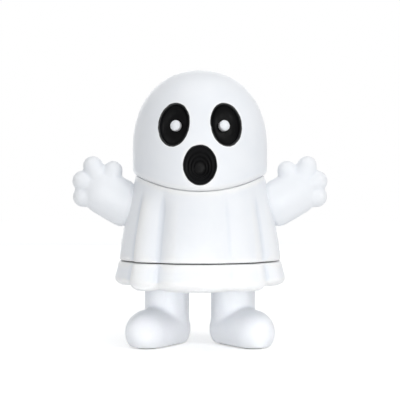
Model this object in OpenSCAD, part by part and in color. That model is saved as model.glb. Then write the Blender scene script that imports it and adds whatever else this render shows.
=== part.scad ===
// Glazed ceramic ghost figure in three stacked castings: a domed head, a sheet-like
// body with raised arms, and a folded hem on two legs. Millimetres, +Z up.
// The face looks along -Y. The origin is on the ground below the figure's axis.
// Left and right are the figure's own, so its left side is at +X.

/* [Head] */
// Width of the domed head
head_w = 61.6; // [60:0.2:64]
// Height of the rounded part of the dome
dome_h = 36; // [33:0.5:40]
// Height of the straight band below the dome, at the sides
head_band_h = 10.8; // [9.8:0.2:12.8]
// Fullness of the dome: 2 is an ellipse, higher is squarer
dome_power = 2.2; // [2:0.05:2.6]
// How far the lower edge drops from the sides to the front
saddle_drop = 8.9; // [6.2:0.1:9.3]
// Wall of the head casting
head_wall = 3; // [2.5:0.1:3.4]

/* [Face] */
// Width of an eye along the surface
eye_w = 14; // [12:0.2:15]
// Height of an eye along the surface
eye_h = 18.4; // [16:0.2:20]
// Distance between the middles of the eyes
eye_spacing = 23.2; // [21:0.2:25]
// Height of the eyes above the head's rim at the sides
eye_rise = 20; // [18.8:0.2:21.8]
// Depth of an eye cup
eye_depth = 5.2; // [4.8:0.1:6]
// Diameter of a pupil
pupil_d = 4.9; // [4:0.1:6]
// Height of a pupil above the floor of its cup
pupil_h = 2.6; // [2:0.1:3]
// Width of the mouth
mouth_w = 14.3; // [12:0.1:15]
// Height of the mouth
mouth_h = 17; // [15:0.1:17.4]
// Height of the middle of the mouth above the head's rim at the sides
mouth_rise = 2.3; // [2:0.1:3.8]
// Depth of the mouth cup
mouth_depth = 6; // [5:0.1:6.5]
// Wall of the eye and mouth cups
cup_wall = 1; // [0.8:0.1:1.2]
// Distance over which a cup stays straight, measured inward from the face
cup_land = 1.3; // [1.2:0.1:1.5]

/* [Body] */
// Height of the body casting at its sides
body_h = 39.2; // [37.2:0.2:43]
// Width of the body at the shoulders
shoulder_w = 58.4; // [56:0.2:59]
// Depth of the body at the shoulders
shoulder_d = 57.8; // [56:0.2:59]
// Width of the body at the waist seam
waist_w = 74; // [73:0.5:74.5]
// Depth of the body at the waist seam
waist_d = 66; // [65:0.5:66.5]
// How late the body narrows towards the shoulders: 1 is a straight taper
body_power = 1.3; // [1:0.05:1.5]
// Wall of the body casting
body_wall = 3.6; // [3.2:0.1:4]
// Rounding of the body's lower edge
body_round = 0.9; // [0.5:0.1:1.2]

/* [Folds] */
// Depth of the deepest fold crease
fold_depth = 1.9; // [0.8:0.1:2]

/* [Hem] */
// Height of the hem casting's outside
hem_h = 11.8; // [10:0.2:13]
// Width of the hem at its widest
hem_w = 77.8; // [77.4:0.2:79]
// Depth of the hem at its deepest
hem_d = 69.8; // [69.4:0.2:71]
// How much the hem draws in at its top, on each side
hem_draw = 1.7; // [1:0.1:1.8]
// Rounding of the hem's lower edge
hem_round = 3; // [1.5:0.1:3.1]
// Rounding of the hem's upper edge
hem_top_round = 0.9; // [0.6:0.1:1.1]
// Thickness of the deck that closes the hem casting
deck_t = 3.6; // [3.2:0.1:4]
// Height of the locating ring above the hem
spigot_h = 5; // [4:0.1:6]
// Wall of the locating ring
spigot_wall = 2.4; // [2:0.1:3]

/* [Seams] */
// Height of the open seam between the hem and the body
waist_gap = 0.5; // [0.3:0.1:0.8]
// How far the waist ring is let into the hem
waist_ring_let = 0.8; // [0.5:0.1:1]
// How far the waist ring stays back from the body's outside
waist_ring_setback = 2.9; // [2.6:0.1:3]
// Gap between the head and its saddle-shaped seat
neck_gap = 0.3; // [0.2:0.05:0.5]
// Clearance round the pieces that slide into one another
slide_gap = 0.4; // [0.3:0.05:0.5]

/* [Neck] */
// Diameter of the neck hole in the body
neck_d = 35; // [32:0.5:36]
// Difference in diameter between the neck hole and the head's neck flange
neck_play = 2.4; // [2:0.1:5]
// How far the flange reaches below the saddle
flange_h = 8; // [7:0.2:9]
// Wall of the flange
flange_wall = 3; // [2.6:0.1:3.5]
// Wall of the collar round the neck hole
collar_wall = 3; // [2.6:0.1:3.5]
// Height of the neck ring
neck_ring_h = 3; // [2.4:0.1:3.5]
// How far the neck ring is let into the flange
neck_ring_let = 0.8; // [0.6:0.1:1]
// Distance of the neck ring above the flange's lower end
neck_ring_rise = 2; // [1.5:0.1:2.5]

/* [Arms] */
// Radius of the arm at the shoulder
arm_r = 9.6; // [9:0.1:10]
// Radius of the palm
palm_r = 10.3; // [9.5:0.1:10.6]
// Height of the shoulder above the body's lower edge
arm_rise = 23.9; // [22:0.1:25]
// How far the middle of the shoulder lies inside the body's side
arm_sink = 3; // [2:0.1:4]
// Distance from the shoulder out to the palm
arm_length = 15; // [14:0.1:16]
// Angle at which the arm is raised
arm_angle = 26; // [20:1:28]
// How far the arms lie in front of the figure's axis
arm_forward = 3; // [0:0.1:5]
// Thickness of the arm and palm from front to back, as a share of their height
arm_depth_share = 0.74; // [0.7:0.02:1]
// Wall of the hollow arm, above and below its hollow
arm_wall = 4.2; // [3.8:0.1:4.6]
// Distance from the palm to the farthest fingertip
finger_length = 13.5; // [12:0.1:14]
// Radius of the thickest fingertip
finger_r = 4.7; // [4:0.1:4.8]
// Diameter of the kiln vents behind the arms and above the legs
vent_d = 3; // [2:0.1:3.5]

/* [Legs] */
// Height of the hem's lower edge above the ground
leg_h = 27.4; // [26:0.2:30]
// Diameter of a leg
leg_d = 20.9; // [20:0.1:21.4]
// Distance between the middles of the legs
leg_spacing = 31; // [30:0.2:32]
// How far the legs stand behind the figure's axis
leg_back = 8; // [5:0.1:8.5]
// Radius of the heel
heel_r = 11; // [10.7:0.1:11.4]
// Radius of the toe
toe_r = 10; // [9.4:0.1:10.4]
// Distance from the heel's middle to the toe's
foot_length = 15; // [13:0.1:16]
// Angle at which each foot turns out
foot_turn = 34; // [25:1:42]
// Height of the foot's widest line above its sole
foot_axis_h = 6.4; // [5.6:0.1:6.8]
// Wall of the legs and feet
leg_wall = 4.2; // [3.8:0.1:4.6]
// Thickness of a sole pad
pad_t = 1.2; // [1:0.1:1.5]
// How far a sole pad stands below the glazed sole
pad_show = 0.4; // [0.3:0.1:0.6]
// Margin between a sole pad and the edge of the sole
pad_margin = 2; // [1.5:0.1:3]

/* [Hidden] */

$fn = 96;
fold_sides = 120;
plain_sides = 60;
cup_sides = 48;
cap_steps = 6;
round_steps = 3;
dome_steps = 20;
body_steps = 8;

glaze = "ghostwhite";
hollow_glaze = [0.08, 0.08, 0.09];
dark_silicone = [0.18, 0.16, 0.15];
pale_silicone = "gainsboro";
felt = "dimgray";

// Fold creases: the angle round the body from its left side, the share of the full depth,
// and the angles over which the cloth falls into each crease and rises out of it
folds_deg = [33, 60, 117, 147, 216, 240, 291, 321];
fold_depth_shares = [0.7, 0.5, 0.9, 0.6, 0.7, 1, 0.5, 0.6];
folds_in_deg = [12, 12, 15, 12, 20, 14, 13, 8];
folds_out_deg = [12, 14, 12, 13, 7, 12, 13, 12];
// How quickly a crease falls away beside its valley: 1 is a straight slope
fold_power = 1.7;
// Rounded rolls that stand out between creases, given in the same way
rolls_deg = [48, 132, 222, 336];
roll_height_shares = [0.35, 0.5, 0.7, 0.3];
rolls_in_deg = [14, 14, 9, 14];
rolls_out_deg = [13, 14, 17, 20];
// Shares of the body's height at which the folds start to fade and are gone
fold_fade_share = 0.5;
fold_end_share = 0.9;

// Thumb first, then the fingers from the upper to the lower one
finger_angles = [110, 66, 28, -10];
finger_length_shares = [0.81, 1, 0.86, 0.73];
finger_r_shares = [0.89, 0.91, 0.98, 1];
finger_root_share = 1.25;

// Taper of the cups and the terraces that are turned in the mouth
cup_floor_share = 0.72;
cup_hollow_share = 0.62;
terrace_shares = [0.74, 0.56, 0.38];
mouth_drop_share = 0.07;

overrun = 4;
glue_gap = 0.2;

hem_z = leg_h;
deck_z = hem_z + hem_h;
body_z = deck_z + waist_gap;
head_z = body_z + body_h + neck_gap;
saddle_r = (pow(head_w / 2, 2) + pow(saddle_drop, 2)) / (2 * saddle_drop);
saddle_low_z = head_z - saddle_drop;
saddle_mid_z = saddle_low_z + saddle_r;
seat_r = saddle_r + neck_gap;
flange_z = saddle_low_z - flange_h;
flange_d = neck_d - neck_play;
collar_z = flange_z - neck_gap - slide_gap;
neck_ring_z = flange_z + neck_ring_rise;
sole_z = pad_show;
spigot_rx = body_rx(spigot_h) - body_wall - slide_gap;
spigot_ry = body_ry(spigot_h) - body_wall - slide_gap;
spigot_in_rx = spigot_rx - spigot_wall;
spigot_in_ry = spigot_ry - spigot_wall;
hem_in_rx = hem_w / 2 - body_wall;
hem_in_ry = hem_d / 2 - body_wall;
waist_ring_rx = waist_w / 2 - waist_ring_setback;
waist_ring_ry = waist_d / 2 - waist_ring_setback;
waist_ring_z = deck_z - waist_ring_let;
shoulder = [body_rx(arm_rise) - arm_sink, -arm_forward, body_z + arm_rise];
palm = shoulder + polar(arm_angle, arm_length);
heel = [leg_spacing / 2, leg_back, sole_z + foot_axis_h];
toe = heel + foot_length * [sin(foot_turn), -cos(foot_turn), 0];

function polar(angle, reach) = reach * [cos(angle), 0, sin(angle)];
function smooth_share(t) = let(c = min(max(t, 0), 1)) c * c * (3 - 2 * c);
function flat(lists) = [for (list = lists) each list];

// Half width and half depth of the body at a height above its lower edge
function narrowing(h) = pow(max(h, 0) / body_h, body_power);
function body_rx(h) = waist_w / 2 - (waist_w - shoulder_w) / 2 * narrowing(h);
function body_ry(h) = waist_d / 2 - (waist_d - shoulder_d) / 2 * narrowing(h);

// How far an angle lies from a fold, as a share of the angle over which the fold fades
function apart_share(angle, at, before, after) =
    let(off = (angle - at + 540) % 360 - 180)
    min(abs(off) / (off < 0 ? before : after), 1);
// Share of the full fold depth at an angle: creases are sharp in the valley, rolls are round
function crease_share(angle) = max([for (i = [0 : len(folds_deg) - 1])
    let(apart = apart_share(angle, folds_deg[i], folds_in_deg[i], folds_out_deg[i]))
    fold_depth_shares[i] * pow(1 - apart, fold_power)]);
function roll_share(angle) = max([for (i = [0 : len(rolls_deg) - 1])
    let(apart = apart_share(angle, rolls_deg[i], rolls_in_deg[i], rolls_out_deg[i]))
    roll_height_shares[i] * pow(1 - pow(apart, 2), 2)]);
function fold_fade(h) =
    1 - smooth_share((h / body_h - fold_fade_share) / (fold_end_share - fold_fade_share));

// A closed ring of points at one height, with the folds of the cloth
function folded_ring(rx, ry, z, depth) = [for (i = [0 : fold_sides - 1])
    let(angle = 360 * i / fold_sides, p = [rx * cos(angle), ry * sin(angle)],
        q = p * (1 - depth * (crease_share(angle) - roll_share(angle)) / norm(p)))
    [q[0], q[1], z]];
function oval_points(rx, ry, sides) = [for (i = [0 : sides - 1])
    let(angle = 360 * i / sides) [rx * cos(angle), ry * sin(angle)]];
function oval_ring(rx, ry, z, sides, y = 0) =
    [for (p = oval_points(rx, ry, sides)) [p[0], p[1] + y, z]];

// Height and inset of each point round the hem's edge, from below upwards
function round_in(r, k) = r * (1 - sin(90 * k / round_steps));
function round_up(r, k) = r * (1 - cos(90 * k / round_steps));
hem_profile = concat(
    [for (k = [0 : round_steps]) [round_up(hem_round, k), round_in(hem_round, k)]],
    [for (k = [round_steps : -1 : 0])
        [hem_h - round_up(hem_top_round, k), hem_draw + round_in(hem_top_round, k)]]);
body_heights = concat(
    [for (k = [0 : round_steps - 1]) round_up(body_round, k)],
    [for (k = [0 : body_steps]) body_round + (body_h + overrun - body_round) * k / body_steps]);

// Radius of the dome, and its slope from the vertical, at a height above the rim
function dome_share(h) = max(h - head_band_h, 0) / dome_h;
function dome_radius(h) =
    head_w / 2 * pow(1 - pow(dome_share(h), dome_power), 1 / dome_power);
function dome_tilt(h) = atan2(
    pow(dome_share(h), dome_power - 1) / dome_h,
    pow(dome_radius(h) * 2 / head_w, dome_power - 1) * 2 / head_w);

// A solid through rings of equal length, from the lowest to the highest
module loft(rings) {
    n = len(rings[0]);
    top = (len(rings) - 1) * n;
    polyhedron(points = flat(rings), faces = concat(
        [[for (i = [0 : n - 1]) i]],
        [for (k = [0 : len(rings) - 2], i = [0 : n - 1])
            let(a = k * n + i, b = k * n + (i + 1) % n)
            each [[a, a + n, b], [b, a + n, b + n]]],
        [[for (i = [n - 1 : -1 : 0]) top + i]]));
}

// A round limb that runs from one ball, or from a flat end, to another ball
module limb(from, from_r, to, to_r, ball = true) {
    way = to - from;
    reach = norm(way);
    lean = asin((from_r - to_r) / reach);
    start = ball
        ? [for (k = [0 : cap_steps])
            let(a = -90 + (90 + lean) * k / cap_steps)
            from_r * [cos(a), sin(a)]]
        : [[0, 0], [from_r * cos(lean), 0]];
    translate(from)
        rotate([0, acos(way[2] / reach), atan2(way[1], way[0])])
            rotate_extrude()
                polygon(concat(start,
                    [for (k = [0 : cap_steps])
                        let(a = lean + (90 - lean) * k / cap_steps)
                        to_r * [cos(a), sin(a)] + [0, reach]]));
}

// Everything inside the saddle's curve, which runs from front to back
module saddle(r) {
    translate([0, hem_d, saddle_mid_z])
        rotate([90, 0, 0])
            cylinder(r = r, h = 2 * hem_d);
}

// The head's outside, or its hollow when it is drawn in by the wall
module dome(inset) {
    intersection() {
        translate([0, 0, head_z])
            rotate_extrude()
                polygon(concat(
                    [[0, -saddle_drop - overrun], [head_w / 2 - inset, -saddle_drop - overrun]],
                    [for (k = [0 : dome_steps])
                        let(a = 90 * k / dome_steps)
                        [(head_w / 2 - inset) * pow(cos(a), 2 / dome_power),
                         head_band_h + (dome_h - inset) * pow(sin(a), 2 / dome_power)]]));
        saddle(saddle_r - inset);
    }
}

// Puts a shape on the face, its +Z pointing straight out of the surface
module on_face(x, rise) {
    turn = asin(x / dome_radius(rise));
    translate([x, -dome_radius(rise) * cos(turn), head_z + rise])
        rotate([90 - dome_tilt(rise), 0, turn])
            children();
}

module cup_body(w, h, depth, drop) {
    loft([
        oval_ring(w / 2 * cup_floor_share, h / 2 * cup_floor_share, -depth, cup_sides, -drop),
        oval_ring(w / 2, h / 2, -cup_land, cup_sides),
        oval_ring(w / 2, h / 2, overrun, cup_sides)]);
}

module eye_hollow() {
    rx = eye_w / 2 - cup_wall;
    ry = eye_h / 2 - cup_wall;
    loft([
        oval_ring(rx * cup_hollow_share, ry * cup_hollow_share, cup_wall - eye_depth, cup_sides),
        oval_ring(rx, ry, -cup_land, cup_sides),
        oval_ring(rx, ry, overrun, cup_sides)]);
}

// The mouth's hollow steps down in terraces, each a little lower than the one before
module mouth_hollow() {
    rx = mouth_w / 2 - cup_wall;
    ry = mouth_h / 2 - cup_wall;
    last = len(terrace_shares) - 1;
    step = (mouth_depth - cup_wall - cup_land) / len(terrace_shares);
    drop = mouth_h * mouth_drop_share / len(terrace_shares);
    loft(concat(
        [for (k = [last : -1 : 0], end = [k + 1, k])
            oval_ring(rx * terrace_shares[k], ry * terrace_shares[k],
                      -cup_land - step * end, cup_sides, -drop * (k + 1))],
        [oval_ring(rx, ry, -cup_land, cup_sides),
         oval_ring(rx, ry, overrun, cup_sides)]));
}

module eye_cup(side) {
    color(hollow_glaze)
        difference() {
            intersection() {
                on_face(side * eye_spacing / 2, eye_rise) cup_body(eye_w, eye_h, eye_depth, 0);
                dome(0);
            }
            on_face(side * eye_spacing / 2, eye_rise) eye_hollow();
        }
}

module mouth_cup() {
    color(hollow_glaze)
        difference() {
            intersection() {
                on_face(0, mouth_rise)
                    cup_body(mouth_w, mouth_h, mouth_depth, mouth_h * mouth_drop_share);
                dome(0);
            }
            on_face(0, mouth_rise) mouth_hollow();
        }
}

// A domed stud that stands on the floor of its eye cup
module pupil(side) {
    crown_r = pupil_d;
    color(glaze)
        on_face(side * eye_spacing / 2, eye_rise)
            translate([0, 0, cup_wall - eye_depth])
                intersection() {
                    cylinder(d = pupil_d, h = pupil_h);
                    translate([0, 0, pupil_h - crown_r]) sphere(r = crown_r);
                }
}

module head_shell() {
    color(glaze)
        difference() {
            union() {
                dome(0);
                translate([0, 0, flange_z])
                    cylinder(d = flange_d, h = flange_h + head_wall);
            }
            dome(head_wall);
            translate([0, 0, flange_z - overrun])
                cylinder(d = flange_d - 2 * flange_wall, h = flange_h + saddle_drop + 2 * overrun);
            neck_ring_space(flange_d + overrun);
            for (side = [-1, 1])
                on_face(side * eye_spacing / 2, eye_rise) cup_body(eye_w, eye_h, eye_depth, 0);
            on_face(0, mouth_rise)
                cup_body(mouth_w, mouth_h, mouth_depth, mouth_h * mouth_drop_share);
        }
}

module neck_ring_space(outer_d) {
    translate([0, 0, neck_ring_z])
        difference() {
            cylinder(d = outer_d, h = neck_ring_h);
            translate([0, 0, -overrun])
                cylinder(d = flange_d - 2 * neck_ring_let, h = neck_ring_h + 2 * overrun);
        }
}

module neck_ring() {
    color(pale_silicone)
        neck_ring_space(neck_d - 2 * slide_gap);
}

module body_outside() {
    loft([for (h = body_heights)
        folded_ring(
            body_rx(h) - max(body_round - h, 0) * (1 - sin(90 * h / body_round)),
            body_ry(h) - max(body_round - h, 0) * (1 - sin(90 * h / body_round)),
            body_z + h, fold_depth * fold_fade(h))]);
}

module body_hollow() {
    loft([for (k = [-1 : body_steps + 1])
        let(h = body_h * k / body_steps)
        oval_ring(body_rx(h) - body_wall, body_ry(h) - body_wall, body_z + h, plain_sides)]);
}

// The shell, closed by a deck under the saddle that carries the neck collar
module body_shell() {
    color(glaze)
        difference() {
            union() {
                difference() {
                    body_outside();
                    difference() {
                        body_hollow();
                        saddle(seat_r + body_wall);
                    }
                }
                translate([0, 0, collar_z])
                    cylinder(d = neck_d + 2 * collar_wall, h = saddle_low_z - collar_z);
            }
            saddle(seat_r);
            translate([0, 0, collar_z - overrun])
                cylinder(d = neck_d, h = flange_h + saddle_drop + 2 * overrun);
            for (side = [-1, 1]) vent_to_arm(side);
        }
}

module vent_to_arm(side) {
    translate([side * shoulder[0], shoulder[1], shoulder[2]])
        rotate([0, -90 * side, 0])
            cylinder(d = vent_d, h = arm_r);
}

// The straight part of an arm, with its palm, flattened from front to back
module forearm(inset) {
    translate([0, -arm_forward, 0])
        scale([1, arm_depth_share, 1])
            translate([0, arm_forward, 0])
                limb(shoulder, arm_r - inset, palm, palm_r - inset);
}

module arm(side) {
    color(glaze)
        difference() {
            mirror([side < 0 ? 1 : 0, 0, 0])
                difference() {
                    union() {
                        forearm(0);
                        for (i = [0 : len(finger_angles) - 1])
                            limb(palm, finger_r * finger_root_share,
                                 palm + polar(finger_angles[i], finger_length * finger_length_shares[i]),
                                 finger_r * finger_r_shares[i], false);
                    }
                    forearm(arm_wall);
                }
            body_outside();
        }
}

// The folded skirt, its deck, the groove for the waist ring and the ring that locates the
// body are one skin, which starts at the hollow's ceiling and runs down, out and up
module skirt_base() {
    color(glaze)
        difference() {
            loft(concat(
                [folded_ring(hem_in_rx - hem_draw, hem_in_ry - hem_draw, deck_z - deck_t, fold_depth),
                 folded_ring(hem_in_rx, hem_in_ry, hem_z + hem_round, fold_depth),
                 folded_ring(hem_in_rx, hem_in_ry, hem_z, fold_depth)],
                [for (p = hem_profile)
                    folded_ring(hem_w / 2 - p[1], hem_d / 2 - p[1], hem_z + p[0], fold_depth)],
                [oval_ring(waist_ring_rx, waist_ring_ry, deck_z, fold_sides),
                 oval_ring(waist_ring_rx, waist_ring_ry, waist_ring_z, fold_sides),
                 oval_ring(spigot_rx, spigot_ry, waist_ring_z, fold_sides),
                 oval_ring(spigot_rx, spigot_ry, deck_z + spigot_h, fold_sides),
                 oval_ring(spigot_in_rx, spigot_in_ry, deck_z + spigot_h, fold_sides),
                 oval_ring(spigot_in_rx, spigot_in_ry, deck_z, fold_sides)]));
            for (side = [-1, 1])
                translate([side * heel[0], heel[1], hem_z])
                    cylinder(d = vent_d, h = hem_h + overrun);
        }
}

module waist_ring() {
    color(dark_silicone)
        translate([0, 0, waist_ring_z])
            linear_extrude(waist_ring_let + waist_gap)
                difference() {
                    polygon(oval_points(waist_ring_rx, waist_ring_ry, fold_sides));
                    polygon(oval_points(spigot_rx + glue_gap, spigot_ry + glue_gap, fold_sides));
                }
}

// A leg and its foot, cast together and hollow, with a flat sole let in for the pad
module leg(side) {
    mirror([side < 0 ? 1 : 0, 0, 0])
        color(glaze)
            difference() {
                union() {
                    limb(heel, heel_r, toe, toe_r);
                    translate(heel)
                        cylinder(d = leg_d, h = deck_z - deck_t - heel[2]);
                }
                difference() {
                    union() {
                        limb(heel, heel_r - leg_wall, toe, toe_r - leg_wall);
                        translate(heel)
                            cylinder(d = leg_d - 2 * leg_wall, h = deck_z - heel[2]);
                    }
                    ground_below(sole_z + leg_wall);
                }
                ground_below(sole_z);
                pad_space();
            }
}

// Everything below one height
module ground_below(z) {
    translate([0, 0, z - leg_h])
        linear_extrude(leg_h)
            square(2 * hem_w, center = true);
}

// The pad's outline follows the sole's edge, a margin inside it
module pad_space() {
    heel_edge_r = sqrt(pow(heel_r, 2) - pow(foot_axis_h, 2)) - pad_margin;
    toe_edge_r = sqrt(pow(toe_r, 2) - pow(foot_axis_h, 2)) - pad_margin;
    linear_extrude(pad_t)
        hull() {
            translate([heel[0], heel[1]]) circle(r = heel_edge_r);
            translate([toe[0], toe[1]]) circle(r = toe_edge_r);
        }
}

module sole_pad(side) {
    mirror([side < 0 ? 1 : 0, 0, 0])
        color(felt)
            pad_space();
}

skirt_base();
leg(1);  // left_leg
leg(-1);  // right_leg
sole_pad(1);  // left_sole_pad
sole_pad(-1);  // right_sole_pad
waist_ring();
body_shell();
arm(1);  // left_arm
arm(-1);  // right_arm
head_shell();
eye_cup(1);  // left_eye_cup
eye_cup(-1);  // right_eye_cup
mouth_cup();
pupil(1);  // left_pupil
pupil(-1);  // right_pupil
neck_ring();
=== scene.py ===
# A small glazed ceramic ghost for a shelf: three stacked castings, a face of dark cups,
# and soft rings in the seams. Metres, +Z up. The face looks along -Y.
# Left and right are the figure's own, so its left side is at +X.
import math

import bmesh
import bpy
import numpy as np
from mathutils import Matrix, Vector


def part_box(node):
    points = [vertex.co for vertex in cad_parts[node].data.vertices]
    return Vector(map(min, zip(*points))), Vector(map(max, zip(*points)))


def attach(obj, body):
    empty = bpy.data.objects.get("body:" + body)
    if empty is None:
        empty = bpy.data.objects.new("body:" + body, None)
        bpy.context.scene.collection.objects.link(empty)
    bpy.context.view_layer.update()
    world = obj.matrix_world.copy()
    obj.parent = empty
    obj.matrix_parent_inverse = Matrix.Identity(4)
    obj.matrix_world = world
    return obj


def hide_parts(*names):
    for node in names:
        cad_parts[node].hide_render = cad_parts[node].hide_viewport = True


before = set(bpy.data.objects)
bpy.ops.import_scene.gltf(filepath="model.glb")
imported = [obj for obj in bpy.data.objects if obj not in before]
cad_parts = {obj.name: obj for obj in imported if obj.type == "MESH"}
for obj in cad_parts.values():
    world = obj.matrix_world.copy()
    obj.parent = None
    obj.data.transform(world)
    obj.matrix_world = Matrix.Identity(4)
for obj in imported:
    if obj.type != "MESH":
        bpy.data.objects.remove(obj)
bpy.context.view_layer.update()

# The hem casting is the folded lower edge of the sheet, slip-cast in white clay and glazed
# all over. It is open below. A deck closes its top and carries the ring that locates the
# body, with a groove outside the ring for the waist seal and a vent above each leg.
mm = 0.001
weld = 0.001 * mm
outline_grain = 1.1 * mm
hem_low, hem_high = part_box("skirt_base")
body_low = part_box("body_shell")[0]
waist_low, waist_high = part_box("waist_ring")
leg_low, leg_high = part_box("left_leg")
leg_x, leg_y = 15.5 * mm, 8 * mm
waist_gap = 0.5 * mm
hem_top = body_low.z - waist_gap
hem_rx, hem_ry = hem_high.x, hem_high.y
hem_narrower = hem_rx - hem_ry
wall = 3.6 * mm
hem_round = 3.3 * mm
hem_top_round = 1.1 * mm
hem_draw = 1.7 * mm
hem_widest = 4.4 * mm
hem_side_lift = 1.3 * mm
side_lift_from, side_lift_over = 0.7, 0.14
hem_side_round, hem_lip_round, deck_round = 8 * mm, 0.25 * mm, 1.4 * mm
groove_round, spigot_round, spigot_foot_round = 0.3 * mm, 0.6 * mm, 0.8 * mm
spigot_out, spigot_in = 32.4 * mm, 30.0 * mm
oval_from = 26 * mm
crease_lift = 0.8 * mm
vent_r = 1.5 * mm

# Folds of the cloth: the angle from the left side, the share of the full depth, and the
# angles over which it fades before and after. Creases go in, rolls stand out between them.
creases = ((33, 0.7, 12, 12), (60, 0.5, 12, 14), (117, 0.9, 15, 12), (147, 0.6, 12, 13),
           (216, 0.7, 20, 7), (240, 1.0, 14, 12), (291, 0.5, 13, 13), (321, 0.6, 8, 12))
rolls = ((48, 0.35, 14, 13), (132, 0.5, 14, 14), (222, 0.7, 9, 17), (336, 0.3, 14, 20))
crease_depth = 1.9 * mm
crease_valley = 1.2
crease_power = 1.7
fold_reach = 0.12 * mm


def rounded(corners, steps=5):
    """An outline of radius and height, each of its corners rounded by a radius of its own."""
    outline = []
    for before, (r, z, radius), after in zip(corners[-1:] + corners[:-1], corners,
                                             corners[1:] + corners[:1]):
        here = Vector((r, z))
        if not radius:
            outline.append((r, z))
            continue
        back, on = ((Vector(side[:2]) - here).normalized() for side in (before, after))
        half = back.angle(on) / 2
        middle = here + (back + on).normalized() * radius / math.sin(half)
        first = here + back * radius / math.tan(half) - middle
        turn = first.angle_signed(here + on * radius / math.tan(half) - middle)
        for k in range(steps + 1):
            outline.append(tuple(middle + Matrix.Rotation(-turn * k / steps, 2) @ first))
    return outline


def stepped(outline, grain):
    """The same outline with its long stretches divided."""
    fine = outline[:1]
    for start, end in zip(outline, outline[1:]):
        count = max(math.ceil(math.dist(start, end) / grain), 1)
        fine += [tuple(a + (b - a) * k / count for a, b in zip(start, end))
                 for k in range(1, count + 1)]
    return fine


def turned(outline, steps=360):
    """Turns an outline of radius and height about the upright axis, as on a wheel."""
    made = bmesh.new()
    points = [made.verts.new((r, 0, z)) for r, z in outline]
    for pair in zip(points, points[1:]):
        made.edges.new(pair)
    bmesh.ops.spin(made, geom=made.verts[:] + made.edges[:], cent=(0, 0, 0), axis=(0, 0, 1),
                   angle=math.tau, steps=steps, use_merge=True)
    bmesh.ops.remove_doubles(made, verts=made.verts, dist=weld)
    bmesh.ops.recalc_face_normals(made, faces=made.faces)
    return made


def as_piece(made, name):
    """Hands a finished mesh over as an object at the origin."""
    mesh = bpy.data.meshes.new(name)
    made.to_mesh(mesh)
    made.free()
    piece = bpy.data.objects.new(name, mesh)
    bpy.context.collection.objects.link(piece)
    return piece


def settle(piece):
    """Makes a piece's modifiers part of its mesh."""
    depsgraph = bpy.context.evaluated_depsgraph_get()
    depsgraph.update()
    mesh = bpy.data.meshes.new_from_object(piece.evaluated_get(depsgraph), preserve_all_data_layers=True,
                                           depsgraph=depsgraph)
    piece.modifiers.clear()
    old = piece.data
    piece.data = mesh
    bpy.data.meshes.remove(old)
    mesh.name = piece.name


def cut_away(piece, cutter):
    """Cuts the shape of a mesh out of a piece."""
    tool = as_piece(cutter, "cutter")
    cut = piece.modifiers.new("cut", "BOOLEAN")
    cut.operation = "DIFFERENCE"
    cut.solver = "EXACT"
    cut.object = tool
    settle(piece)
    bpy.data.objects.remove(tool)


def rods(radius, length, places, sides=32):
    """Round cutters about their own axes, each put in place by a matrix."""
    made = bmesh.new()
    for place in places:
        bmesh.ops.create_cone(made, cap_ends=True, segments=sides, radius1=radius, radius2=radius,
                              depth=length, matrix=place)
    return made


def ramp(value, start, end):
    return min(max((value - start) / (end - start), 0), 1)


def smooth_share(t):
    c = min(max(t, 0), 1)
    return c * c * (3 - 2 * c)


def folds_at(angle, folds, soften):
    """The strongest fold at an angle in degrees, each softened by the nearness to its middle."""
    most = 0
    for at, share, before, after in folds:
        off = (angle - at + 540) % 360 - 180
        most = max(most, share * soften(abs(off), after if off > 0 else before))
    return most


def crease_at(angle):
    """Share of the full depth at an angle in degrees: creases round in the valley, less rolls."""
    return (folds_at(angle, creases, lambda off, spread: max(
                1 - (math.hypot(off, crease_valley) - crease_valley) / spread, 0) ** crease_power)
            - folds_at(angle, rolls, lambda off, spread: max(1 - (off / spread) ** 2, 0) ** 2))


def mark_hollows(piece, reach):
    """Stores on each point how far the surface round it is hollow (+) or stands out (-)."""
    mesh = piece.data
    count = len(mesh.vertices)
    place = np.empty(count * 3)
    mesh.vertices.foreach_get("co", place)
    place = place.reshape(-1, 3)
    ends = np.empty(len(mesh.edges) * 2, dtype=np.int64)
    mesh.edges.foreach_get("vertices", ends)
    one, other = ends[::2], ends[1::2]
    links = np.bincount(ends, minlength=count).clip(1)
    out = np.array([normal.vector for normal in mesh.vertex_normals])

    def averaged(values):
        columns = [np.bincount(one, column[other], count) + np.bincount(other, column[one], count)
                   for column in values.T]
        return np.stack(columns, axis=1) / links[:, None]

    calm = place
    for _ in range(12):
        calm = 0.5 * calm + 0.5 * averaged(calm)
    hollow = np.einsum("ij,ij->i", calm - place, out)[:, None] / reach
    for _ in range(3):
        hollow = averaged(hollow)
    mark = mesh.attributes.get("hollow") or mesh.attributes.new("hollow", "FLOAT", "POINT")
    mark.data.foreach_set("value", hollow.ravel().clip(-1, 1))


def add(tree, kind, sockets=None, **settings):
    """Adds a node with its settings and the values of its unlinked sockets."""
    made = tree.nodes.new(kind)
    for name, value in settings.items():
        setattr(made, name, value)
    for name, value in (sockets or {}).items():
        made.inputs[name].default_value = value
    return made


def join(tree, *pairs):
    """Links outputs to inputs, pair by pair."""
    for source, target in pairs:
        tree.links.new(source, target)


def new_material(name):
    """An empty node material."""
    made = bpy.data.materials.new(name)
    made.use_nodes = True
    made.node_tree.nodes.clear()
    return made, made.node_tree


def noise(tree, place, scale, detail=3):
    made = add(tree, "ShaderNodeTexNoise", {"Scale": scale, "Detail": detail})
    join(tree, (place, made.inputs["Vector"]))
    return made.outputs["Fac"]


def ranged(tree, value, low, high, to_low, to_high):
    """Maps a value from one range to another, with soft ends."""
    made = add(tree, "ShaderNodeMapRange", {
        "From Min": low, "From Max": high, "To Min": to_low, "To Max": to_high},
        interpolation_type="SMOOTHSTEP")
    join(tree, (value, made.inputs["Value"]))
    return made.outputs["Result"]


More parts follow.
